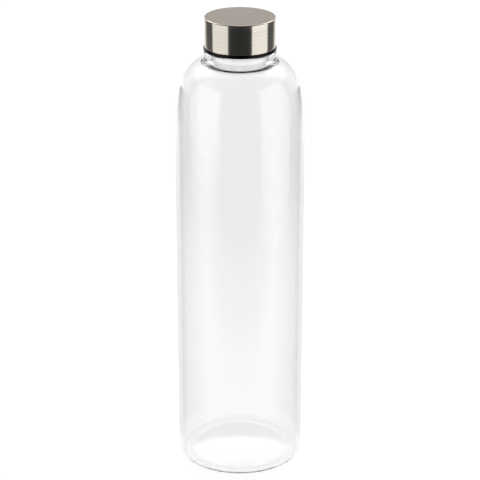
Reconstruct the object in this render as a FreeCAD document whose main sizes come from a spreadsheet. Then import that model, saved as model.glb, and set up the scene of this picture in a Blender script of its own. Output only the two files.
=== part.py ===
import FreeCAD, Part
import math
import os

import Sketcher

# Glass water bottle with a screw cap: a one-piece glass body, a steel cap shell, the plastic liner
# pressed into it and a soft sealing ring. Millimetres and degrees, +Z up, the origin at the centre of
# the base, so the bottle stands on z = 0. The sub-parts are drawn where they sit with the cap closed.

# Driving dimensions. Heights are measured from the surface that the bottle stands on.
SIZES = {
    # glass body
    "body_radius": 40.0,
    "wall": 2.4,
    "heel_radius": 4.0,             # round between the wall and the resting ring
    "ring_inner_radius": 30.0,      # inner edge of the flat resting ring
    "punt_height": 2.4,             # how far the middle of the base is pushed up
    "floor_top": 5.0,               # height of the inside floor in the middle
    "floor_dome_radius": 170.0,
    "floor_corner": 3.0,            # inside round between the floor and the wall
    "shoulder_start": 228.8,        # where the straight wall ends
    "shoulder_blend_radius": 112.0,
    "shoulder_blend_angle": 10.2,
    "shoulder_radius": 25.0,
    "shoulder_angle": 34.8,
    "crown_radius": 14.0,           # last, tightest stretch of the shoulder
    # glass neck
    "collar_radius": 22.3,
    "collar_top": 271.6,
    "collar_round": 1.0,
    "collar_fillet": 2.4,           # between the shoulder and the collar
    "neck_radius": 18.3,
    "neck_fillet": 0.8,             # between the collar and the neck
    "bore_radius": 15.9,
    "bore_flare": 6.0,              # round from the bore out to the inside of the shoulder
    "lip_top": 289.2,
    "lip_round": 1.0,
    # screw thread, shared by the neck and the cap liner
    "thread_pitch": 4.0,
    "thread_turns": 1.5,
    "thread_root": 0.3,             # how deep each thread is rooted in its wall
    "neck_thread_low": 278.0,       # height of the middle of the neck's thread at its lower end
    "neck_thread_depth": 1.3,
    "neck_thread_base": 2.2,        # width of the thread at its foot
    "neck_thread_crest": 1.0,       # width of the thread at its top
    "cap_thread_low": 276.0,
    "cap_thread_depth": 1.25,
    "cap_thread_base": 1.3,
    "cap_thread_crest": 0.6,
    # cap shell
    "cap_top": 293.15,
    "shell_bottom": 274.85,
    "shell_radius": 21.75,
    "shell_wall": 0.5,
    "shell_round": 0.8,             # outer round of the drawn cup's top edge
    # cap liner
    "press_gap": 0.05,              # glue gap between the shell and the liner
    "flange_bottom": 272.85,
    "flange_radius": 22.2,
    "flange_round": 0.25,
    "liner_bore": 19.9,
    "liner_roof": 1.6,              # thickness of the liner's flat top
    "liner_chamfer": 0.6,
    "seal_seat_radius": 19.0,       # short step at the top of the liner that centres the seal
    "seal_seat_depth": 2.6,
    "seal_boss_radius": 14.6,       # round boss inside the seal
    "seal_boss_depth": 1.2,
    # seal
    "seal_bottom": 289.25,
    "seal_top": 290.9,
    "seal_gap": 0.15,               # radial gap to the seat and to the boss
    "seal_round": 0.35,
}

START, END, CENTRE = 1, 2, 3        # the named points of a sketched line or arc
ORIGIN = (-1, START)                # the sketch's own origin
LEVEL_AXIS = -1                     # the sketch's horizontal axis
UPRIGHT_AXIS = -2                   # the sketch's vertical axis

doc = FreeCAD.newDocument("WaterBottle")


def make_sheet():
    """Put the driving dimensions in a spreadsheet, one named cell each."""
    sheet = doc.addObject("Spreadsheet::Sheet", "Sizes")
    for row, (name, value) in enumerate(SIZES.items(), start=1):
        sheet.set(f"A{row}", name)
        sheet.set(f"B{row}", str(value))
        sheet.setAlias(f"B{row}", name)
    doc.recompute()


def make_body(name):
    body = doc.addObject("PartDesign::Body", name)
    body.Label = name
    body.Placement = FreeCAD.Placement()
    return body


def make_sketch(body, name):
    """A sketch on the body's own XZ plane: across is the radius, up is the height."""
    sketch = body.newObject("Sketcher::SketchObject", name)
    plane = [item for item in body.Origin.OriginFeatures if item.Role == "XZ_Plane"][0]
    sketch.AttachmentSupport = [(plane, "")]
    sketch.MapMode = "FlatFace"
    return sketch


class Outline:
    """A closed run of lines and arcs in a sketch, joined end to end."""

    def __init__(self, sketch, x, y):
        self.sketch = sketch
        self.here = FreeCAD.Vector(x, y, 0)
        self.first = None
        self.last = None

    def line(self, x, y, smooth=False):
        there = FreeCAD.Vector(x, y, 0)
        edge = self.sketch.addGeometry(Part.LineSegment(self.here, there), False)
        return self._join(edge, START, END, there, smooth)

    def arc(self, x, y, radius, turn, smooth=True):
        """An arc to (x, y) that turns to the left (+1) or to the right (-1)."""
        there = FreeCAD.Vector(x, y, 0)
        chord = there - self.here
        rise = math.sqrt(max(radius**2 - chord.Length**2 / 4, 0.0))
        to_left = FreeCAD.Vector(-chord.y, chord.x, 0).normalize()
        centre = self.here + chord * 0.5 + to_left * rise * turn
        begin, end = (self.here, there) if turn > 0 else (there, self.here)
        angles = [math.atan2(p.y - centre.y, p.x - centre.x) for p in (begin, end)]
        circle = Part.Circle(centre, FreeCAD.Vector(0, 0, 1), radius)
        edge = self.sketch.addGeometry(Part.ArcOfCircle(circle, *angles), False)
        near, far = (START, END) if turn > 0 else (END, START)
        return self._join(edge, near, far, there, smooth)

    def _join(self, edge, near, far, there, smooth):
        if self.last is None:
            self.first = (edge, near)
        else:
            kind = "Tangent" if smooth else "Coincident"
            self.sketch.addConstraint(Sketcher.Constraint(kind, *self.last, edge, near))
        self.last = (edge, far)
        self.here = there
        return edge, near, far

    def close(self):
        self.sketch.addConstraint(Sketcher.Constraint("Coincident", *self.last, *self.first))


def bind(sketch, name, kind, where, expression):
    """Drive one dimension of a sketch from the spreadsheet.

    where is (edge,) for a radius or an arc's angle, and (edge, point) for a distance from the origin.
    """
    edge = sketch.Geometry[where[0]]
    if kind == "Radius":
        now = edge.Radius
    elif kind == "Angle":
        now = edge.LastParameter - edge.FirstParameter
    else:
        spot = sketch.getPoint(*where)
        now = spot.x if kind == "DistanceX" else spot.y
        where = ORIGIN + where
    index = sketch.addConstraint(Sketcher.Constraint(kind, *where, now))
    sketch.renameConstraint(index, name)
    sketch.setExpression(f"Constraints.{name}", expression)


def place(sketch, name, point, across=None, up=None):
    """Fix a point's radius and height by spreadsheet expressions."""
    if across:
        bind(sketch, f"{name}_across", "DistanceX", point, across)
    if up:
        bind(sketch, f"{name}_up", "DistanceY", point, up)


def fix(sketch, kind, *edges):
    """Make edges horizontal or vertical."""
    for edge in edges:
        sketch.addConstraint(Sketcher.Constraint(kind, edge[0]))


def on_axis(sketch, *points):
    for edge, point in points:
        sketch.addConstraint(Sketcher.Constraint("PointOnObject", edge, point, UPRIGHT_AXIS))


def turn_about_axis(body, sketch, name, kind="PartDesign::Revolution"):
    feature = body.newObject(kind, name)
    feature.Profile = sketch
    feature.ReferenceAxis = (sketch, ["V_Axis"])
    feature.Angle = 360.0
    return feature


def add_thread(body, name, side, low, depth, base, crest):
    """A right-hand thread wound on a wall: side is +1 on the outside of it and -1 on the inside.

    low, depth, base and crest are the names of its dimensions in the spreadsheet.
    """
    size = SIZES
    wall_name = "neck_radius" if side > 0 else "liner_bore"
    wall = size[wall_name]
    foot = wall - side * size["thread_root"]
    top = wall + side * size[depth]
    middle = size[low]
    half_foot, half_top = size[base] / 2, size[crest] / 2
    sketch = make_sketch(body, f"{name}Profile")
    outline = Outline(sketch, foot, middle - half_foot)
    low_flank = outline.line(top, middle - half_top)
    top_edge = outline.line(top, middle + half_top)
    high_flank = outline.line(foot, middle + half_foot)
    foot_edge = outline.line(foot, middle - half_foot)
    outline.close()
    fix(sketch, "Vertical", top_edge, foot_edge)
    sign, back = ("+", "-") if side > 0 else ("-", "+")
    place(sketch, "low_foot", low_flank[:2], f"Sizes.{wall_name} {back} Sizes.thread_root",
          f"Sizes.{low} - Sizes.{base} / 2")
    place(sketch, "low_top", (low_flank[0], END), f"Sizes.{wall_name} {sign} Sizes.{depth}",
          f"Sizes.{low} - Sizes.{crest} / 2")
    place(sketch, "high_top", high_flank[:2], up=f"Sizes.{low} + Sizes.{crest} / 2")
    place(sketch, "high_foot", (high_flank[0], END), up=f"Sizes.{low} + Sizes.{base} / 2")
    helix = body.newObject("PartDesign::AdditiveHelix", name)
    helix.Profile = sketch
    helix.ReferenceAxis = (sketch, ["V_Axis"])
    helix.Mode = "pitch-turns-angle"
    helix.setExpression("Pitch", "Sizes.thread_pitch")
    helix.setExpression("Turns", "Sizes.thread_turns")
    helix.LeftHanded = False
    return helix


def shoulder_centres(inset):
    """Centres of the three shoulder arcs, and their joints, for a surface inset from the outside."""
    size = SIZES
    radii = [size[name] - inset
             for name in ("shoulder_blend_radius", "shoulder_radius", "crown_radius")]
    turns = [size["shoulder_blend_angle"], size["shoulder_angle"]]
    centre = FreeCAD.Vector(size["body_radius"] - inset - radii[0], size["shoulder_start"], 0)
    angle, joints = 0.0, []
    for radius, next_radius, step in zip(radii, radii[1:], turns):
        angle += math.radians(step)
        outward = FreeCAD.Vector(math.cos(angle), math.sin(angle), 0)
        joints.append(centre + outward * radius)
        centre = centre + outward * (radius - next_radius)
    return radii, joints, centre


def crown_to_round(crown, crown_radius, across, radius):
    """Where the crown meets the round that turns into the neck, and the height of that round's centre."""
    reach = crown_radius + radius
    height = crown.y + math.sqrt(reach**2 - (across - crown.x)**2)
    meet = crown + (FreeCAD.Vector(across, height, 0) - crown) * (crown_radius / reach)
    return meet, height


def draw_glass_outside(sketch):
    size = SIZES
    radii, joints, crown = shoulder_centres(0.0)
    neck, collar = size["neck_radius"], size["collar_radius"]
    meet, fillet_up = crown_to_round(crown, radii[2], collar + size["collar_fillet"],
                                     size["collar_fillet"])
    ring, heel = size["ring_inner_radius"], size["heel_radius"]
    punt = size["punt_height"]
    lip, lip_round = size["lip_top"], size["lip_round"]

    outline = Outline(sketch, 0.0, punt)
    dome = outline.arc(ring, 0.0, (ring**2 + punt**2) / (2 * punt), -1)
    foot = outline.line(size["body_radius"] - heel, 0.0)
    heel_arc = outline.arc(size["body_radius"], heel, heel, +1)
    wall = outline.line(size["body_radius"], size["shoulder_start"], smooth=True)
    blend = outline.arc(joints[0].x, joints[0].y, radii[0], +1)
    shoulder = outline.arc(joints[1].x, joints[1].y, radii[1], +1)
    crown_arc = outline.arc(meet.x, meet.y, radii[2], +1)
    fillet = outline.arc(collar, fillet_up, size["collar_fillet"], -1)
    collar_wall = outline.line(collar, size["collar_top"] - size["collar_round"], smooth=True)
    collar_arc = outline.arc(collar - size["collar_round"], size["collar_top"],
                             size["collar_round"], +1)
    ledge = outline.line(neck + size["neck_fillet"], size["collar_top"], smooth=True)
    neck_arc = outline.arc(neck, size["collar_top"] + size["neck_fillet"], size["neck_fillet"], -1)
    neck_wall = outline.line(neck, lip - lip_round, smooth=True)
    lip_arc = outline.arc(neck - lip_round, lip, lip_round, +1)
    top = outline.line(0.0, lip, smooth=True)
    axis = outline.line(0.0, punt)
    outline.close()

    fix(sketch, "Horizontal", foot, ledge, top)
    fix(sketch, "Vertical", wall, collar_wall, neck_wall, axis)
    on_axis(sketch, (dome[0], CENTRE), dome[:2])
    place(sketch, "punt", dome[:2], up="Sizes.punt_height")
    sketch.addConstraint(Sketcher.Constraint("PointOnObject", foot[0], START, LEVEL_AXIS))
    place(sketch, "ring", foot[:2], across="Sizes.ring_inner_radius")
    place(sketch, "wall", (wall[0], END), "Sizes.body_radius", "Sizes.shoulder_start")
    place(sketch, "collar", (collar_wall[0], START), across="Sizes.collar_radius")
    place(sketch, "ledge", (ledge[0], START), up="Sizes.collar_top")
    place(sketch, "neck", (neck_wall[0], START), across="Sizes.neck_radius")
    place(sketch, "lip", (top[0], START), up="Sizes.lip_top")
    for name, arc in (("heel_radius", heel_arc), ("shoulder_blend_radius", blend),
                      ("shoulder_radius", shoulder), ("crown_radius", crown_arc),
                      ("collar_fillet", fillet), ("collar_round", collar_arc),
                      ("neck_fillet", neck_arc), ("lip_round", lip_arc)):
        bind(sketch, name, "Radius", arc[:1], f"Sizes.{name}")
    bind(sketch, "blend_angle", "Angle", blend[:1], "Sizes.shoulder_blend_angle")
    bind(sketch, "shoulder_angle", "Angle", shoulder[:1], "Sizes.shoulder_angle")


def draw_glass_inside(sketch):
    size = SIZES
    radii, joints, crown = shoulder_centres(size["wall"])
    inside = size["body_radius"] - size["wall"]
    bore, flare = size["bore_radius"], size["bore_flare"]
    meet, flare_up = crown_to_round(crown, radii[2], bore + flare, flare)
    dome, corner = size["floor_dome_radius"], size["floor_corner"]
    dome_centre = FreeCAD.Vector(0, size["floor_top"] - dome, 0)
    corner_centre = FreeCAD.Vector(
        inside - corner,
        dome_centre.y + math.sqrt((dome + corner)**2 - (inside - corner)**2), 0)
    floor_edge = dome_centre + (corner_centre - dome_centre) * (dome / (dome + corner))
    lip, lip_round = size["lip_top"], size["lip_round"]
    above = lip + lip_round

    outline = Outline(sketch, 0.0, size["floor_top"])
    floor = outline.arc(floor_edge.x, floor_edge.y, dome, -1)
    corner_arc = outline.arc(inside, corner_centre.y, corner, +1)
    wall = outline.line(inside, size["shoulder_start"], smooth=True)
    blend = outline.arc(joints[0].x, joints[0].y, radii[0], +1)
    shoulder = outline.arc(joints[1].x, joints[1].y, radii[1], +1)
    crown_arc = outline.arc(meet.x, meet.y, radii[2], +1)
    flare_arc = outline.arc(bore, flare_up, flare, -1)
    bore_wall = outline.line(bore, lip - lip_round, smooth=True)
    lip_arc = outline.arc(bore + lip_round, lip, lip_round, -1)
    mouth = outline.line(bore + lip_round, above)
    top = outline.line(0.0, above)
    axis = outline.line(0.0, size["floor_top"])
    outline.close()

    fix(sketch, "Horizontal", top)
    fix(sketch, "Vertical", wall, bore_wall, mouth, axis)
    on_axis(sketch, (floor[0], CENTRE), floor[:2])
    place(sketch, "floor", floor[:2], up="Sizes.floor_top")
    place(sketch, "wall", (wall[0], END), "Sizes.body_radius - Sizes.wall", "Sizes.shoulder_start")
    place(sketch, "bore", (bore_wall[0], END), "Sizes.bore_radius", "Sizes.lip_top - Sizes.lip_round")
    place(sketch, "lip", (mouth[0], START), "Sizes.bore_radius + Sizes.lip_round", "Sizes.lip_top")
    place(sketch, "above", (mouth[0], END), up="Sizes.lip_top + Sizes.lip_round")
    bind(sketch, "floor_dome", "Radius", floor[:1], "Sizes.floor_dome_radius")
    bind(sketch, "floor_corner", "Radius", corner_arc[:1], "Sizes.floor_corner")
    bind(sketch, "bore_flare", "Radius", flare_arc[:1], "Sizes.bore_flare")
    for name, arc in (("shoulder_blend_radius", blend), ("shoulder_radius", shoulder),
                      ("crown_radius", crown_arc)):
        bind(sketch, name, "Radius", arc[:1], f"Sizes.{name} - Sizes.wall")
    bind(sketch, "blend_angle", "Angle", blend[:1], "Sizes.shoulder_blend_angle")
    bind(sketch, "shoulder_angle", "Angle", shoulder[:1], "Sizes.shoulder_angle")


def make_glass_bottle():
    """The whole glass: turned outside, hollowed inside, with a thread wound on the neck."""
    body = make_body("glass_bottle")
    outside = make_sketch(body, "GlassOutside")
    draw_glass_outside(outside)
    turn_about_axis(body, outside, "GlassSolid")
    add_thread(body, "NeckThread", +1, "neck_thread_low", "neck_thread_depth",
               "neck_thread_base", "neck_thread_crest")
    inside = make_sketch(body, "GlassInside")
    draw_glass_inside(inside)
    turn_about_axis(body, inside, "GlassHollow", "PartDesign::Groove")
    return body


def make_cap_shell():
    """The drawn steel cup, open at the bottom."""
    size = SIZES
    outer, wall = size["shell_radius"], size["shell_wall"]
    inner, top, bottom = outer - wall, size["cap_top"], size["shell_bottom"]
    big, small = size["shell_round"], size["shell_round"] - wall

    body = make_body("cap_shell")
    sketch = make_sketch(body, "ShellSection")
    outline = Outline(sketch, inner, bottom)
    rim = outline.line(outer, bottom)
    outer_wall = outline.line(outer, top - big)
    outer_arc = outline.arc(outer - big, top, big, +1)
    top_face = outline.line(0.0, top, smooth=True)
    axis = outline.line(0.0, top - wall)
    roof = outline.line(inner - small, top - wall)
    inner_arc = outline.arc(inner, top - wall - small, small, -1)
    inner_wall = outline.line(inner, bottom, smooth=True)
    outline.close()

    fix(sketch, "Horizontal", rim, top_face, roof)
    fix(sketch, "Vertical", outer_wall, inner_wall, axis)
    on_axis(sketch, axis[:2])
    place(sketch, "rim_inner", (rim[0], START), "Sizes.shell_radius - Sizes.shell_wall",
          "Sizes.shell_bottom")
    place(sketch, "rim_outer", (rim[0], END), across="Sizes.shell_radius")
    place(sketch, "top", axis[:2], up="Sizes.cap_top")
    place(sketch, "roof", (axis[0], END), up="Sizes.cap_top - Sizes.shell_wall")
    bind(sketch, "outer_round", "Radius", outer_arc[:1], "Sizes.shell_round")
    bind(sketch, "inner_round", "Radius", inner_arc[:1], "Sizes.shell_round - Sizes.shell_wall")
    turn_about_axis(body, sketch, "Shell")
    return body


def draw_liner(sketch):
    size = SIZES
    gap, round_off = size["press_gap"], size["flange_round"]
    outer = size["shell_radius"] - size["shell_wall"] - gap
    bottom, flange = size["flange_bottom"], size["flange_radius"]
    flange_top = size["shell_bottom"] - gap
    top = size["cap_top"] - size["shell_wall"] - gap
    under = top - size["liner_roof"]
    bevel, bore = size["liner_chamfer"], size["liner_bore"]
    boss, boss_bottom = size["seal_boss_radius"], under - size["seal_boss_depth"]
    seat, seat_bottom = size["seal_seat_radius"], under - size["seal_seat_depth"]
    step = bore - seat

    outline = Outline(sketch, bore + bevel, bottom)
    foot = outline.line(flange - round_off, bottom)
    low_arc = outline.arc(flange, bottom + round_off, round_off, +1)
    flange_wall = outline.line(flange, flange_top - round_off, smooth=True)
    high_arc = outline.arc(flange - round_off, flange_top, round_off, +1)
    ledge = outline.line(outer, flange_top, smooth=True)
    outer_wall = outline.line(outer, top - bevel)
    top_bevel = outline.line(outer - bevel, top)
    top_face = outline.line(0.0, top)
    axis = outline.line(0.0, boss_bottom)
    boss_face = outline.line(boss, boss_bottom)
    boss_wall = outline.line(boss, under)
    seat_roof = outline.line(seat, under)
    seat_wall = outline.line(seat, seat_bottom)
    seat_bevel = outline.line(bore, seat_bottom - step)
    bore_wall = outline.line(bore, bottom + bevel)
    foot_bevel = outline.line(bore + bevel, bottom)
    outline.close()

    fix(sketch, "Horizontal", foot, ledge, top_face, boss_face, seat_roof)
    fix(sketch, "Vertical", flange_wall, outer_wall, axis, boss_wall, seat_wall, bore_wall)
    on_axis(sketch, axis[:2])
    inner_wall = "Sizes.shell_radius - Sizes.shell_wall - Sizes.press_gap"
    liner_top = "Sizes.cap_top - Sizes.shell_wall - Sizes.press_gap"
    roof_under = f"{liner_top} - Sizes.liner_roof"
    place(sketch, "foot", foot[:2], "Sizes.liner_bore + Sizes.liner_chamfer", "Sizes.flange_bottom")
    place(sketch, "flange", flange_wall[:2], across="Sizes.flange_radius")
    place(sketch, "flange_top", ledge[:2], up="Sizes.shell_bottom - Sizes.press_gap")
    place(sketch, "outer", outer_wall[:2], across=inner_wall)
    place(sketch, "bevel", top_bevel[:2], up=f"{liner_top} - Sizes.liner_chamfer")
    place(sketch, "top", top_face[:2], f"{inner_wall} - Sizes.liner_chamfer", liner_top)
    place(sketch, "boss", boss_wall[:2], "Sizes.seal_boss_radius",
          f"{roof_under} - Sizes.seal_boss_depth")
    place(sketch, "seat", seat_wall[:2], "Sizes.seal_seat_radius", roof_under)
    place(sketch, "seat_low", seat_bevel[:2], up=f"{roof_under} - Sizes.seal_seat_depth")
    place(sketch, "bore_high", bore_wall[:2], "Sizes.liner_bore",
          f"{roof_under} - Sizes.seal_seat_depth - Sizes.liner_bore + Sizes.seal_seat_radius")
    place(sketch, "bore_low", foot_bevel[:2], up="Sizes.flange_bottom + Sizes.liner_chamfer")
    bind(sketch, "low_round", "Radius", low_arc[:1], "Sizes.flange_round")
    bind(sketch, "high_round", "Radius", high_arc[:1], "Sizes.flange_round")


def make_cap_insert():
    """The threaded plastic liner; its flange shows as a dark ring under the steel."""
    body = make_body("cap_insert")
    sketch = make_sketch(body, "LinerSection")
    draw_liner(sketch)
    turn_about_axis(body, sketch, "Liner")
    add_thread(body, "CapThread", -1, "cap_thread_low", "cap_thread_depth",
               "cap_thread_base", "cap_thread_crest")
    return body


def make_cap_seal():
    """The flat sealing ring between the liner and the glass lip."""
    size = SIZES
    inner = size["seal_boss_radius"] + size["seal_gap"]
    outer = size["seal_seat_radius"] - size["seal_gap"]
    bottom, top, round_off = size["seal_bottom"], size["seal_top"], size["seal_round"]

    body = make_body("cap_seal")
    sketch = make_sketch(body, "SealSection")
    outline = Outline(sketch, inner + round_off, bottom)
    under = outline.line(outer - round_off, bottom)
    arcs = [outline.arc(outer, bottom + round_off, round_off, +1)]
    outer_wall = outline.line(outer, top - round_off, smooth=True)
    arcs.append(outline.arc(outer - round_off, top, round_off, +1))
    over = outline.line(inner + round_off, top, smooth=True)
    arcs.append(outline.arc(inner, top - round_off, round_off, +1))
    inner_wall = outline.line(inner, bottom + round_off, smooth=True)
    arcs.append(outline.arc(inner + round_off, bottom, round_off, +1))
    outline.close()

    fix(sketch, "Horizontal", under, over)
    fix(sketch, "Vertical", outer_wall, inner_wall)
    place(sketch, "under", under[:2], "Sizes.seal_boss_radius + Sizes.seal_gap + Sizes.seal_round",
          "Sizes.seal_bottom")
    place(sketch, "outer", outer_wall[:2], across="Sizes.seal_seat_radius - Sizes.seal_gap")
    place(sketch, "over", over[:2], up="Sizes.seal_top")
    place(sketch, "inner", inner_wall[:2], across="Sizes.seal_boss_radius + Sizes.seal_gap")
    for number, arc in enumerate(arcs):
        bind(sketch, f"round_{number}", "Radius", arc[:1], "Sizes.seal_round")
    turn_about_axis(body, sketch, "Seal")
    return body


def check_and_write(bodies):
    """Stop on anything that failed, then write each sub-part to its own file."""
    for item in doc.Objects:
        if "Invalid" in item.State or "Error" in item.State:
            raise RuntimeError(f"{item.Label} failed to recompute: {item.State}")
        if item.TypeId == "Sketcher::SketchObject" and not item.FullyConstrained:
            raise RuntimeError(f"{item.Label} is not fully constrained")
    for body in bodies:
        shape = body.Shape
        if shape.isNull() or not shape.isValid() or len(shape.Solids) != 1:
            raise RuntimeError(f"{body.Label} is not one valid solid")
    os.makedirs("parts", exist_ok=True)
    for body in bodies:
        body.Shape.exportStep(f"parts/{body.Label}.step")
        print(f"{body.Label}: {body.Shape.Volume / 1000:.2f} cm3")


make_sheet()
bodies = [make_glass_bottle(), make_cap_shell(), make_cap_insert(), make_cap_seal()]
doc.recompute()
check_and_write(bodies)
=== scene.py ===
import math

import bpy
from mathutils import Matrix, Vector


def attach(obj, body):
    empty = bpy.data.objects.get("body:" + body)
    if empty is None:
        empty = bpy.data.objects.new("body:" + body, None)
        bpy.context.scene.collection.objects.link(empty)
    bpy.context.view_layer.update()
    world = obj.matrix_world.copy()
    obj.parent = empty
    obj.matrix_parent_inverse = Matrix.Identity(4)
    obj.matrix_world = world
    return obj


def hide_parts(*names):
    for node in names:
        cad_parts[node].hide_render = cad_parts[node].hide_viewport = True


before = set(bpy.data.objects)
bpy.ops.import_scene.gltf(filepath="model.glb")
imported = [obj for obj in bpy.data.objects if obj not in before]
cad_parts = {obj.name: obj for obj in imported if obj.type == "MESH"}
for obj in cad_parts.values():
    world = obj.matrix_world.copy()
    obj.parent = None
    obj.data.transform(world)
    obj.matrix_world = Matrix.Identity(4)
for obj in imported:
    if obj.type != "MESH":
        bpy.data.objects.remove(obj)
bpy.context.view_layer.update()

MM = 0.001
SEGMENTS = 288                      # steps round every turned piece
ON_AXIS = 1e-6                      # a smaller radius than this is on the axis
ON_WALL = 1e-3                      # a thread rises from points this near to its wall

# The glass, in millimetres.
BODY_RADIUS = 40.0
WALL = 2.4
HEEL_RADIUS = 4.0
RING_INNER_RADIUS = 30.0
PUNT_HEIGHT = 2.4
FLOOR_TOP = 5.0
FLOOR_DOME_RADIUS = 170.0
FLOOR_CORNER = 3.0
SHOULDER_START = 228.8
SHOULDER_RADII = (112.0, 25.0, 14.0)
SHOULDER_TURNS = (10.2, 34.8)       # degrees swept by the first two shoulder arcs
COLLAR_RADIUS = 22.3
COLLAR_TOP = 271.6
COLLAR_ROUND = 1.0
COLLAR_FILLET = 2.4
NECK_RADIUS = 18.3
NECK_FILLET = 0.8
BORE_RADIUS = 15.9
BORE_FLARE = 6.0
LIP_TOP = 289.2
LIP_ROUND = 1.0

# The screw thread.
PITCH = 4.0
TURNS = 1.5
FADE_TURNS = 0.16                   # each end of a thread runs out over this much of a turn
NECK_THREAD = {"low": 278.0, "depth": 1.3, "foot": 2.2, "crest": 1.0}
CAP_THREAD = {"low": 276.0, "depth": 1.25, "foot": 1.3, "crest": 0.6}

# The cap.
CAP_TOP = 293.15
SHELL_BOTTOM = 274.85
SHELL_RADIUS = 21.75
SHELL_WALL = 0.5
SHELL_ROUND = 0.8
RIM_ROUND = 0.15                    # both edges of the shell's open end
PRESS_GAP = 0.05
FLANGE_BOTTOM = 272.85
FLANGE_RADIUS = 22.2
FLANGE_ROUND = 0.25
LINER_BORE = 19.9
LINER_ROOF = 1.6
LINER_CHAMFER = 0.6
SEAL_SEAT_RADIUS = 19.0
SEAL_SEAT_DEPTH = 2.6
SEAL_BOSS_RADIUS = 14.6
SEAL_BOSS_DEPTH = 1.2
SEAL_BOSS_ROUND = 0.3
SEAL_BOTTOM = 289.25
SEAL_TOP = 290.9
SEAL_GAP = 0.15
SEAL_ROUND = 0.35

# The clear glass. Each surface lets through the square root of its base colour.
CLEAR = 0.968                       # base colour of the glass where it is seen square on
# painted shade: the glass's base colour darkens where it is seen edge-on, drawing dark lines just
# inside its silhouettes
EDGE_SHADE_STOPS = ((0.22, CLEAR), (0.62, 0.81), (0.80, 0.57), (0.95, 0.38))
HEEL_FADE = (0.006, 0.020)          # the edges start to darken over these heights, in metres
SHOULDER_FADE = (0.25, 0.18)        # and stop over these

# The set, in metres, and its light, where 1 is the white of the picture. A pair of numbers
# is where a change starts and where it is complete.
FLOOR_SHADE = (0.20, 0.20, 0.20, 1)
# painted light: the floor's glow, a pool of light round and behind the bottle
FLOOR_GLOW = 0.92
FAR_GLOW = 0.06                     # added to the glow behind the bottle
FAR_FADE = (0.0, 1.2)
GLOW_SIDES = (0.70, 0.24)           # distance to the left or right of the bottle
GLOW_WIDENING = 0.26                # the sides move out by this much of the distance back, squared
GLOW_FRONT = (-0.30, -0.14)
LANE_SHADE = (0.065, 0.065, 0.065, 1)
LANE_SIDES = (0.9, 0.4)
LANE_FRONT = (-0.30, -0.55)
BOX_SWING = math.radians(67)        # how far each soft box stands round from the front
BOX_WIDTH = 1.15                    # its width for each metre that it stands away
BOX_TOP = 0.60
BOX_LAYERS = 3
BOX_STEP = 0.025                    # each layer of a soft box starts this much higher
BOX_SPACING = 0.01                  # and stands this much further out

# The wall behind. Its heights are the sine of the angle above the horizon.
WALL_SIDES = (0.2, 0.7)             # cosine of the angle round from straight behind
WALL_FOOT = 0.80
WALL_LOW = 0.75
WALL_HIGH = 2.2
FOOT_FADE = (0.26, 0.18)
HIGH_START = (0.40, 0.50)
HIGH_END = (0.85, 0.70)
ROOM_DIM = 0.02


class Outline:
    """Points along half of a turned section, as (radius, height)."""

    def __init__(self, x, y):
        self.points = [Vector((x, y))]

    def line(self, x, y, steps):
        """A straight run to (x, y)."""
        start, end = self.points[-1], Vector((x, y))
        self.points += [start.lerp(end, step / steps) for step in range(1, steps + 1)]

    def arc(self, x, y, radius, turn, steps):
        """An arc to (x, y) that turns to the left (+1) or to the right (-1)."""
        start, end = self.points[-1], Vector((x, y))
        chord = end - start
        rise = math.sqrt(max(radius**2 - chord.length_squared / 4, 0.0))
        to_left = Vector((-chord.y, chord.x)).normalized()
        centre = start + chord / 2 + to_left * rise * turn
        spoke = start - centre
        sweep = 2 * math.asin(min(chord.length / (2 * radius), 1.0)) * turn
        for step in range(1, steps + 1):
            angle = sweep * step / steps
            self.points.append(centre + Vector((
                spoke.x * math.cos(angle) - spoke.y * math.sin(angle),
                spoke.x * math.sin(angle) + spoke.y * math.cos(angle))))


def shoulder_joints(inset):
    """Joints between the shoulder's three arcs, and the last arc's centre, inset from the outside."""
    radii = [radius - inset for radius in SHOULDER_RADII]
    centre = Vector((BODY_RADIUS - inset - radii[0], SHOULDER_START))
    angle, joints = 0.0, []
    for radius, next_radius, step in zip(radii, radii[1:], SHOULDER_TURNS):
        angle += math.radians(step)
        outward = Vector((math.cos(angle), math.sin(angle)))
        joints.append(centre + outward * radius)
        centre = centre + outward * (radius - next_radius)
    return radii, joints, centre


def crown_to_round(crown, crown_radius, across, radius):
    """Where the crown meets the round into the neck, and the height of that round's centre."""
    reach = crown_radius + radius
    height = crown.y + math.sqrt(reach**2 - (across - crown.x)**2)
    meet = crown + (Vector((across, height)) - crown) * (crown_radius / reach)
    return meet, height


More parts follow.
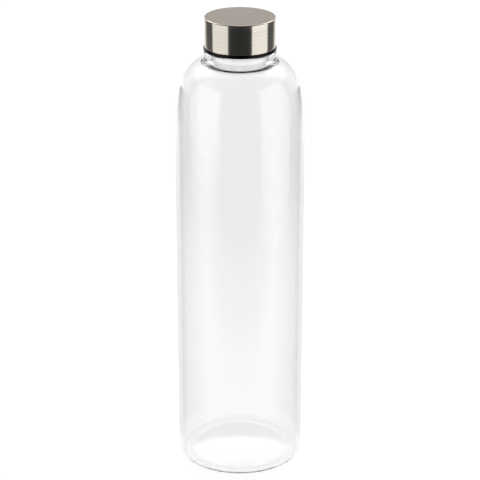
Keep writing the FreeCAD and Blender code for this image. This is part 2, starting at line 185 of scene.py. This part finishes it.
def glass_outline():
    """The glass from the middle of the base, up the outside, over the lip and down the inside."""
    radii, joints, crown = shoulder_joints(0.0)
    meet, fillet_up = crown_to_round(crown, radii[2], COLLAR_RADIUS + COLLAR_FILLET, COLLAR_FILLET)
    dome = (RING_INNER_RADIUS**2 + PUNT_HEIGHT**2) / (2 * PUNT_HEIGHT)
    path = Outline(0.0, PUNT_HEIGHT)
    path.arc(RING_INNER_RADIUS, 0.0, dome, -1, 14)
    path.line(BODY_RADIUS - HEEL_RADIUS, 0.0, 3)
    path.arc(BODY_RADIUS, HEEL_RADIUS, HEEL_RADIUS, +1, 12)
    path.line(BODY_RADIUS, SHOULDER_START, 40)
    path.arc(joints[0].x, joints[0].y, radii[0], +1, 10)
    path.arc(joints[1].x, joints[1].y, radii[1], +1, 16)
    path.arc(meet.x, meet.y, radii[2], +1, 16)
    path.arc(COLLAR_RADIUS, fillet_up, COLLAR_FILLET, -1, 8)
    path.line(COLLAR_RADIUS, COLLAR_TOP - COLLAR_ROUND, 6)
    path.arc(COLLAR_RADIUS - COLLAR_ROUND, COLLAR_TOP, COLLAR_ROUND, +1, 8)
    path.line(NECK_RADIUS + NECK_FILLET, COLLAR_TOP, 3)
    path.arc(NECK_RADIUS, COLLAR_TOP + NECK_FILLET, NECK_FILLET, -1, 6)
    path.line(NECK_RADIUS, LIP_TOP - LIP_ROUND, 96)
    path.arc(NECK_RADIUS - LIP_ROUND, LIP_TOP, LIP_ROUND, +1, 8)
    path.line(BORE_RADIUS + LIP_ROUND, LIP_TOP, 1)
    path.arc(BORE_RADIUS, LIP_TOP - LIP_ROUND, LIP_ROUND, +1, 8)

    radii, joints, crown = shoulder_joints(WALL)
    inside = BODY_RADIUS - WALL
    meet, flare_up = crown_to_round(crown, radii[2], BORE_RADIUS + BORE_FLARE, BORE_FLARE)
    dome_low = FLOOR_TOP - FLOOR_DOME_RADIUS
    reach = FLOOR_DOME_RADIUS + FLOOR_CORNER
    corner = Vector((inside - FLOOR_CORNER,
                     dome_low + math.sqrt(reach**2 - (inside - FLOOR_CORNER)**2)))
    floor_edge = Vector((0, dome_low)).lerp(corner, FLOOR_DOME_RADIUS / reach)
    path.line(BORE_RADIUS, flare_up, 12)
    path.arc(meet.x, meet.y, BORE_FLARE, +1, 14)
    path.arc(joints[1].x, joints[1].y, radii[2], -1, 16)
    path.arc(joints[0].x, joints[0].y, radii[1], -1, 16)
    path.arc(inside, SHOULDER_START, radii[0], -1, 10)
    path.line(inside, corner.y, 40)
    path.arc(floor_edge.x, floor_edge.y, FLOOR_CORNER, -1, 12)
    path.arc(0.0, FLOOR_TOP, FLOOR_DOME_RADIUS, +1, 14)
    return path.points


def shell_outline():
    """The steel cup's section, from the inside of its top, down, round the rim and up the outside."""
    inner, big = SHELL_RADIUS - SHELL_WALL, SHELL_ROUND
    small = SHELL_ROUND - SHELL_WALL
    path = Outline(0.0, CAP_TOP - SHELL_WALL)
    path.line(inner - small, CAP_TOP - SHELL_WALL, 6)
    path.arc(inner, CAP_TOP - SHELL_WALL - small, small, -1, 4)
    path.line(inner, SHELL_BOTTOM + RIM_ROUND, 6)
    path.arc(inner + RIM_ROUND, SHELL_BOTTOM, RIM_ROUND, +1, 4)
    path.line(SHELL_RADIUS - RIM_ROUND, SHELL_BOTTOM, 1)
    path.arc(SHELL_RADIUS, SHELL_BOTTOM + RIM_ROUND, RIM_ROUND, +1, 4)
    path.line(SHELL_RADIUS, CAP_TOP - big, 12)
    path.arc(SHELL_RADIUS - big, CAP_TOP, big, +1, 10)
    path.line(0.0, CAP_TOP, 10)
    return path.points


def liner_outline():
    """The liner's section, from the boss inside the seal, down the bore, round the flange and up."""
    outer = SHELL_RADIUS - SHELL_WALL - PRESS_GAP
    flange_top = SHELL_BOTTOM - PRESS_GAP
    top = CAP_TOP - SHELL_WALL - PRESS_GAP
    under = top - LINER_ROOF
    seat_bottom = under - SEAL_SEAT_DEPTH
    boss_bottom = under - SEAL_BOSS_DEPTH
    path = Outline(0.0, boss_bottom)
    path.line(SEAL_BOSS_RADIUS - SEAL_BOSS_ROUND, boss_bottom, 4)
    path.arc(SEAL_BOSS_RADIUS, boss_bottom + SEAL_BOSS_ROUND, SEAL_BOSS_ROUND, +1, 4)
    path.line(SEAL_BOSS_RADIUS, under, 2)
    path.line(SEAL_SEAT_RADIUS, under, 4)
    path.line(SEAL_SEAT_RADIUS, seat_bottom, 2)
    path.line(LINER_BORE, seat_bottom - (LINER_BORE - SEAL_SEAT_RADIUS), 2)
    path.line(LINER_BORE, FLANGE_BOTTOM + LINER_CHAMFER, 90)
    path.line(LINER_BORE + LINER_CHAMFER, FLANGE_BOTTOM, 2)
    path.line(FLANGE_RADIUS - FLANGE_ROUND, FLANGE_BOTTOM, 2)
    path.arc(FLANGE_RADIUS, FLANGE_BOTTOM + FLANGE_ROUND, FLANGE_ROUND, +1, 8)
    path.line(FLANGE_RADIUS, flange_top - FLANGE_ROUND, 2)
    path.arc(FLANGE_RADIUS - FLANGE_ROUND, flange_top, FLANGE_ROUND, +1, 8)
    path.line(outer, flange_top, 1)
    path.line(outer, top - LINER_CHAMFER, 6)
    path.line(outer - LINER_CHAMFER, top, 1)
    path.line(0.0, top, 4)
    return path.points


def seal_outline():
    """The closed section of the sealing ring."""
    inner, outer = SEAL_BOSS_RADIUS + SEAL_GAP, SEAL_SEAT_RADIUS - SEAL_GAP
    path = Outline(inner + SEAL_ROUND, SEAL_BOTTOM)
    path.line(outer - SEAL_ROUND, SEAL_BOTTOM, 3)
    path.arc(outer, SEAL_BOTTOM + SEAL_ROUND, SEAL_ROUND, +1, 5)
    path.line(outer, SEAL_TOP - SEAL_ROUND, 1)
    path.arc(outer - SEAL_ROUND, SEAL_TOP, SEAL_ROUND, +1, 5)
    path.line(inner + SEAL_ROUND, SEAL_TOP, 3)
    path.arc(inner, SEAL_TOP - SEAL_ROUND, SEAL_ROUND, +1, 5)
    path.line(inner, SEAL_BOTTOM + SEAL_ROUND, 1)
    path.arc(inner + SEAL_ROUND, SEAL_BOTTOM, SEAL_ROUND, +1, 5)
    return path.points


def smooth_step(value):
    """0 up to 0, 1 from 1, and smooth between."""
    value = min(max(value, 0.0), 1.0)
    return value * value * (3 - 2 * value)


def thread_height(thread, angle, height):
    """How far a thread stands out of its wall at an angle (in turns) and a height."""
    best = 0.0
    for lap in range(math.ceil(TURNS) + 1):
        along = angle + lap
        if not 0 <= along <= TURNS:
            continue
        off = abs(height - thread["low"] - PITCH * along)
        flank = (thread["foot"] / 2 - off) / ((thread["foot"] - thread["crest"]) / 2)
        fade = smooth_step(min(along, TURNS - along) / FADE_TURNS)
        best = max(best, thread["depth"] * smooth_step(flank) * fade)
    return best


def turned(name, points, thread=None, wall=0.0, side=1):
    """Turn an outline about the z axis; points on the axis become single poles.

    A thread, if any, is raised on the stretch of the outline whose radius is wall.
    """
    closed = points[0].x > 0
    if closed:
        points = points[:-1]
    verts, rings = [], []
    for point in points:
        if point.x <= ON_AXIS:
            rings.append([len(verts)])
            verts.append((0.0, 0.0, point.y * MM))
            continue
        rings.append(list(range(len(verts), len(verts) + SEGMENTS)))
        for step in range(SEGMENTS):
            turn = step / SEGMENTS
            radius = point.x
            if thread and abs(radius - wall) < ON_WALL:
                radius += side * thread_height(thread, turn, point.y)
            verts.append((radius * MM * math.cos(2 * math.pi * turn),
                          radius * MM * math.sin(2 * math.pi * turn), point.y * MM))
    faces = []
    pairs = list(zip(rings, rings[1:]))
    if closed:
        pairs.append((rings[-1], rings[0]))
    for low, high in pairs:
        for step in range(SEGMENTS):
            after = (step + 1) % SEGMENTS
            if len(low) == 1:
                faces.append((low[0], high[after], high[step]))
            elif len(high) == 1:
                faces.append((low[step], low[after], high[0]))
            else:
                faces.append((low[step], low[after], high[after], high[step]))
    mesh = bpy.data.meshes.new(name)
    mesh.from_pydata(verts, [], faces)
    mesh.polygons.foreach_set("use_smooth", [True] * len(mesh.polygons))
    mesh.update()
    piece = bpy.data.objects.new(name, mesh)
    bpy.context.collection.objects.link(piece)
    return piece


def add_node(owner, kind, **values):
    """A new shader node of a material or of the world."""
    node = owner.node_tree.nodes.new(kind)
    for key, value in values.items():
        setattr(node, key, value)
    return node


def fade(owner, source, start, end):
    """1 beyond end, 0 before start, and smooth between; start may be the larger."""
    node = add_node(owner, "ShaderNodeMapRange", interpolation_type="SMOOTHSTEP")
    node.inputs["From Min"].default_value = start
    node.inputs["From Max"].default_value = end
    owner.node_tree.links.new(source, node.inputs["Value"])
    return node.outputs["Result"]


def math_node(owner, operation, first, second=None):
    """One step of arithmetic; each input is a number or another node's output."""
    node = add_node(owner, "ShaderNodeMath", operation=operation)
    for socket, value in zip(node.inputs, (first, second)):
        if isinstance(value, bpy.types.NodeSocket):
            owner.node_tree.links.new(value, socket)
        elif value is not None:
            socket.default_value = value
    return node.outputs[0]


def new_material(name):
    """A new material, its main shader and its links."""
    material = bpy.data.materials.new(name)
    material.use_nodes = True
    return material, material.node_tree.nodes["Principled BSDF"], material.node_tree.links


def glass_material():
    """Clear glass that takes a little light at each surface, and has painted shade where it is seen
    edge-on: its base colour darkens there.

    The edges darken only along the straight wall, not in the base, the shoulder or the neck.
    """
    material, shader, links = new_material("clear_glass")
    # painted shade: Layer Weight darkens the base colour towards the silhouettes
    edge = add_node(material, "ShaderNodeLayerWeight")
    edge.inputs["Blend"].default_value = 0.5
    tint = add_node(material, "ShaderNodeValToRGB")
    tint.color_ramp.elements.new(0.5)
    tint.color_ramp.elements.new(0.6)
    for element, (where, level) in zip(tint.color_ramp.elements, EDGE_SHADE_STOPS):
        element.position = where
        element.color = (level, level, level, 1)
    links.new(edge.outputs["Facing"], tint.inputs["Fac"])
    spot = add_node(material, "ShaderNodeTexCoord")
    split = add_node(material, "ShaderNodeSeparateXYZ")
    links.new(spot.outputs["Object"], split.inputs["Vector"])
    above_heel = fade(material, split.outputs["Z"], *HEEL_FADE)
    below_shoulder = fade(material, split.outputs["Z"], *SHOULDER_FADE)
    straight = math_node(material, "MULTIPLY", above_heel, below_shoulder)
    blend = add_node(material, "ShaderNodeMix", data_type="RGBA")
    blend.inputs["A"].default_value = (CLEAR, CLEAR, CLEAR, 1)
    links.new(straight, blend.inputs["Factor"])
    links.new(tint.outputs["Color"], blend.inputs["B"])
    links.new(blend.outputs["Result"], shader.inputs["Base Color"])
    shader.inputs["Transmission Weight"].default_value = 1.0
    shader.inputs["Roughness"].default_value = 0.0
    shader.inputs["IOR"].default_value = 1.48
    output = material.node_tree.nodes["Material Output"]
    volume = add_node(material, "ShaderNodeVolumeAbsorption")
    volume.inputs["Color"].default_value = (0.77, 0.778, 0.80, 1)
    volume.inputs["Density"].default_value = 25.0
    links.new(volume.outputs["Volume"], output.inputs["Volume"])
    return material


def steel_material(name, axis, lines, dull, bright):
    """Brushed steel: axis sets which way the tangents run, and lines stretches the brushing."""
    material, shader, links = new_material(name)
    shader.inputs["Metallic"].default_value = 1.0
    shader.inputs["Anisotropic"].default_value = 0.6
    shader.inputs["Anisotropic Rotation"].default_value = 0.25
    tangent = add_node(material, "ShaderNodeTangent", direction_type="RADIAL", axis=axis)
    links.new(tangent.outputs["Tangent"], shader.inputs["Tangent"])

    spot = add_node(material, "ShaderNodeTexCoord")
    stretch = add_node(material, "ShaderNodeMapping")
    stretch.inputs["Scale"].default_value = lines
    brushing = add_node(material, "ShaderNodeTexNoise")
    brushing.inputs["Scale"].default_value = 1.0
    brushing.inputs["Detail"].default_value = 3.0
    brushing.inputs["Roughness"].default_value = 0.7
    links.new(spot.outputs["Object"], stretch.inputs["Vector"])
    links.new(stretch.outputs["Vector"], brushing.inputs["Vector"])
    tint = add_node(material, "ShaderNodeValToRGB")
    tint.color_ramp.elements[0].position = 0.32
    tint.color_ramp.elements[0].color = dull
    tint.color_ramp.elements[1].position = 0.68
    tint.color_ramp.elements[1].color = bright
    links.new(brushing.outputs["Fac"], tint.inputs["Fac"])
    links.new(tint.outputs["Color"], shader.inputs["Base Color"])
    polish = add_node(material, "ShaderNodeMapRange")
    polish.inputs["To Min"].default_value = 0.08
    polish.inputs["To Max"].default_value = 0.20
    links.new(brushing.outputs["Fac"], polish.inputs["Value"])
    links.new(polish.outputs["Result"], shader.inputs["Roughness"])
    scratch = add_node(material, "ShaderNodeBump")
    scratch.inputs["Strength"].default_value = 0.02
    scratch.inputs["Distance"].default_value = 0.00004
    links.new(brushing.outputs["Fac"], scratch.inputs["Height"])
    links.new(scratch.outputs["Normal"], shader.inputs["Normal"])
    return material


def moulded_material(name, dull, light, smooth, rough):
    """A moulded surface with a fine grain, between two close colours and two roughnesses."""
    material, shader, links = new_material(name)
    spot = add_node(material, "ShaderNodeTexCoord")
    grain = add_node(material, "ShaderNodeTexNoise")
    grain.inputs["Scale"].default_value = 1800.0
    grain.inputs["Detail"].default_value = 3.0
    links.new(spot.outputs["Object"], grain.inputs["Vector"])
    tint = add_node(material, "ShaderNodeValToRGB")
    tint.color_ramp.elements[0].color = dull
    tint.color_ramp.elements[1].color = light
    links.new(grain.outputs["Fac"], tint.inputs["Fac"])
    links.new(tint.outputs["Color"], shader.inputs["Base Color"])
    polish = add_node(material, "ShaderNodeMapRange")
    polish.inputs["To Min"].default_value = smooth
    polish.inputs["To Max"].default_value = rough
    links.new(grain.outputs["Fac"], polish.inputs["Value"])
    links.new(polish.outputs["Result"], shader.inputs["Roughness"])
    skin = add_node(material, "ShaderNodeBump")
    skin.inputs["Strength"].default_value = 0.08
    skin.inputs["Distance"].default_value = 0.00002
    links.new(grain.outputs["Fac"], skin.inputs["Height"])
    links.new(skin.outputs["Normal"], shader.inputs["Normal"])
    return material, shader


def plastic_material():
    material, shader = moulded_material("black_plastic", (0.003, 0.003, 0.003, 1),
                                        (0.007, 0.0065, 0.006, 1), 0.22, 0.34)
    shader.inputs["Specular IOR Level"].default_value = 0.15
    return material


def silicone_material():
    material, _ = moulded_material("seal_silicone", (0.68, 0.68, 0.65, 1), (0.80, 0.80, 0.77, 1),
                                   0.42, 0.58)
    return material


def place(piece, node, body, material):
    """Give a piece its material and the body it rides on, and hide the node it stands for."""
    piece.data.materials.append(material)
    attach(piece, body)
    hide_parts(node)


def build_bottle():
    glass = turned("bottle_glass", glass_outline(), NECK_THREAD, NECK_RADIUS, +1)
    place(glass, "glass_bottle", "bottle", glass_material())
    shell = turned("cap_steel_shell", shell_outline())
    place(shell, "cap_shell", "cap",
          steel_material("brushed_steel_side", "Z", (6.0, 6.0, 2600.0),
                         (0.64, 0.585, 0.51, 1), (0.94, 0.885, 0.80, 1)))
    # painted shade: the top is the same steel as the side, given a darker base colour so that it
    # looks shaded
    shell.data.materials.append(
        steel_material("brushed_steel_top_shaded", "X", (120.0, 5200.0, 90.0),
                       (0.29, 0.245, 0.195, 1), (0.46, 0.395, 0.32, 1)))
    for face in shell.data.polygons:
        if face.normal.z > 0.9:
            face.material_index = 1
    liner = turned("cap_threaded_liner", liner_outline(), CAP_THREAD, LINER_BORE, -1)
    place(liner, "cap_insert", "cap", plastic_material())
    seal = turned("cap_sealing_ring", seal_outline())
    place(seal, "cap_seal", "seal", silicone_material())


def area_light(name, place_at, aim_at, width, height, radiance):
    """A rectangular soft box of a given brightness, which the camera doesn't see directly."""
    data = bpy.data.lights.new(name, "AREA")
    data.shape = "RECTANGLE"
    data.size, data.size_y = width, height
    data.energy = math.pi * width * height * radiance
    light = bpy.data.objects.new(name, data)
    light.location = place_at
    light.rotation_euler = (Vector(aim_at) - Vector(place_at)).to_track_quat("-Z", "Y").to_euler()
    light.visible_camera = False
    bpy.context.collection.objects.link(light)


def build_soft_box(name, side, away, radiance):
    """A soft box in layers with stepped bottoms, so that its light fades out towards the table."""
    for layer in range(BOX_LAYERS):
        bottom = BOX_STEP * layer
        middle = (bottom + BOX_TOP) / 2
        out = away + BOX_SPACING * layer
        spot = (side * out * math.sin(BOX_SWING), -out * math.cos(BOX_SWING), middle)
        area_light(f"{name}_{layer}", spot, (0, 0, middle), BOX_WIDTH * away, BOX_TOP - bottom,
                   radiance / BOX_LAYERS)


def floor_material():
    """A grey floor with a painted pool of light: it glows, though it is no lamp, so it looks white
    with no shadow round the bottle, and the glow widens behind the bottle and dies out in front of
    it.

    Further out in front, a darker lane gives the cap its dark middle band.
    """
    material, shader, links = new_material("grey_floor_painted_glow")
    shader.inputs["Roughness"].default_value = 0.9
    shader.inputs["Specular IOR Level"].default_value = 0.0
    shader.inputs["Emission Color"].default_value = (1, 1, 1, 1)
    spot = add_node(material, "ShaderNodeTexCoord")
    split = add_node(material, "ShaderNodeSeparateXYZ")
    links.new(spot.outputs["Object"], split.inputs["Vector"])
    sideways = math_node(material, "ABSOLUTE", split.outputs["X"])
    back = math_node(material, "MAXIMUM", split.outputs["Y"], 0.0)
    widening = math_node(material, "MULTIPLY", math_node(material, "MULTIPLY", back, back),
                         GLOW_WIDENING)
    within = fade(material, math_node(material, "SUBTRACT", sideways, widening), *GLOW_SIDES)
    lane = math_node(material, "MULTIPLY", fade(material, sideways, *LANE_SIDES),
                     fade(material, split.outputs["Y"], *LANE_FRONT))
    shade = add_node(material, "ShaderNodeMix", data_type="RGBA")
    shade.inputs["A"].default_value = FLOOR_SHADE
    shade.inputs["B"].default_value = LANE_SHADE
    links.new(lane, shade.inputs["Factor"])
    links.new(shade.outputs["Result"], shader.inputs["Base Color"])
    # painted pool of light: emission only where the floor lies round and behind the bottle
    lit = math_node(material, "MULTIPLY", within, fade(material, split.outputs["Y"], *GLOW_FRONT))
    far = math_node(material, "MULTIPLY", fade(material, split.outputs["Y"], *FAR_FADE), FAR_GLOW)
    glow = math_node(material, "ADD", far, FLOOR_GLOW)
    links.new(math_node(material, "MULTIPLY", lit, glow), shader.inputs["Emission Strength"])
    return material


def build_floor():
    mesh = bpy.data.meshes.new("studio_floor")
    reach = 15.0
    low = -0.0001                   # just under the glass, as a real table is
    mesh.from_pydata([(-reach, -reach, low), (reach, -reach, low), (reach, reach, low),
                      (-reach, reach, low)], [], [(0, 1, 2, 3)])
    mesh.materials.append(floor_material())
    floor = bpy.data.objects.new("studio_floor", mesh)
    bpy.context.collection.objects.link(floor)


def build_room():
    """A dark room with a wall behind the table, which is brightest in a band high up."""
    world = bpy.data.worlds.new("room")
    world.use_nodes = True
    background = world.node_tree.nodes["Background"]
    spot = add_node(world, "ShaderNodeTexCoord")
    split = add_node(world, "ShaderNodeSeparateXYZ")
    world.node_tree.links.new(spot.outputs["Generated"], split.inputs["Vector"])
    level = math_node(world, "MULTIPLY", split.outputs["Z"], split.outputs["Z"])
    along = math_node(world, "SQRT", math_node(world, "SUBTRACT", 1.0, level))
    behind = fade(world, math_node(world, "DIVIDE", split.outputs["Y"], along), *WALL_SIDES)
    foot = math_node(world, "MULTIPLY", fade(world, split.outputs["Z"], *FOOT_FADE),
                     WALL_FOOT - WALL_LOW)
    band = math_node(world, "MULTIPLY", fade(world, split.outputs["Z"], *HIGH_START),
                     fade(world, split.outputs["Z"], *HIGH_END))
    high = math_node(world, "MULTIPLY", band, WALL_HIGH - WALL_LOW)
    levels = math_node(world, "ADD", math_node(world, "ADD", foot, high), WALL_LOW)
    wall = math_node(world, "MULTIPLY", behind, levels)
    strength = math_node(world, "ADD", wall, ROOM_DIM)
    world.node_tree.links.new(strength, background.inputs["Strength"])
    background.inputs["Color"].default_value = (1, 1, 1, 1)
    bpy.context.scene.world = world
    bpy.context.scene.view_settings.view_transform = "Standard"


def build_studio():
    """The table, a tall soft box on each side in front, and the room."""
    build_floor()
    build_soft_box("left_soft_box", -1, 0.47, 0.85)
    build_soft_box("right_soft_box", +1, 0.40, 0.95)
    build_room()


def build_camera():
    tilt = math.radians(22.7)
    reach = 1.118
    aim = Vector((0, 0, 0.1476))
    data = bpy.data.cameras.new("camera")
    data.sensor_width = 36.0
    data.lens = 132.75
    data.clip_end = 50.0
    camera = bpy.data.objects.new("camera", data)
    camera.location = aim + Vector((0, -math.cos(tilt), math.sin(tilt))) * reach
    camera.rotation_euler = (math.pi / 2 - tilt, 0, 0)
    bpy.context.collection.objects.link(camera)
    bpy.context.scene.camera = camera


def deepen_light_paths():
    """Let light turn enough times inside the thick glass of the base and the neck."""
    cycles = bpy.context.scene.cycles
    cycles.max_bounces = 32
    cycles.transmission_bounces = 32
    cycles.glossy_bounces = 32


deepen_light_paths()
build_camera()
build_bottle()
build_studio()
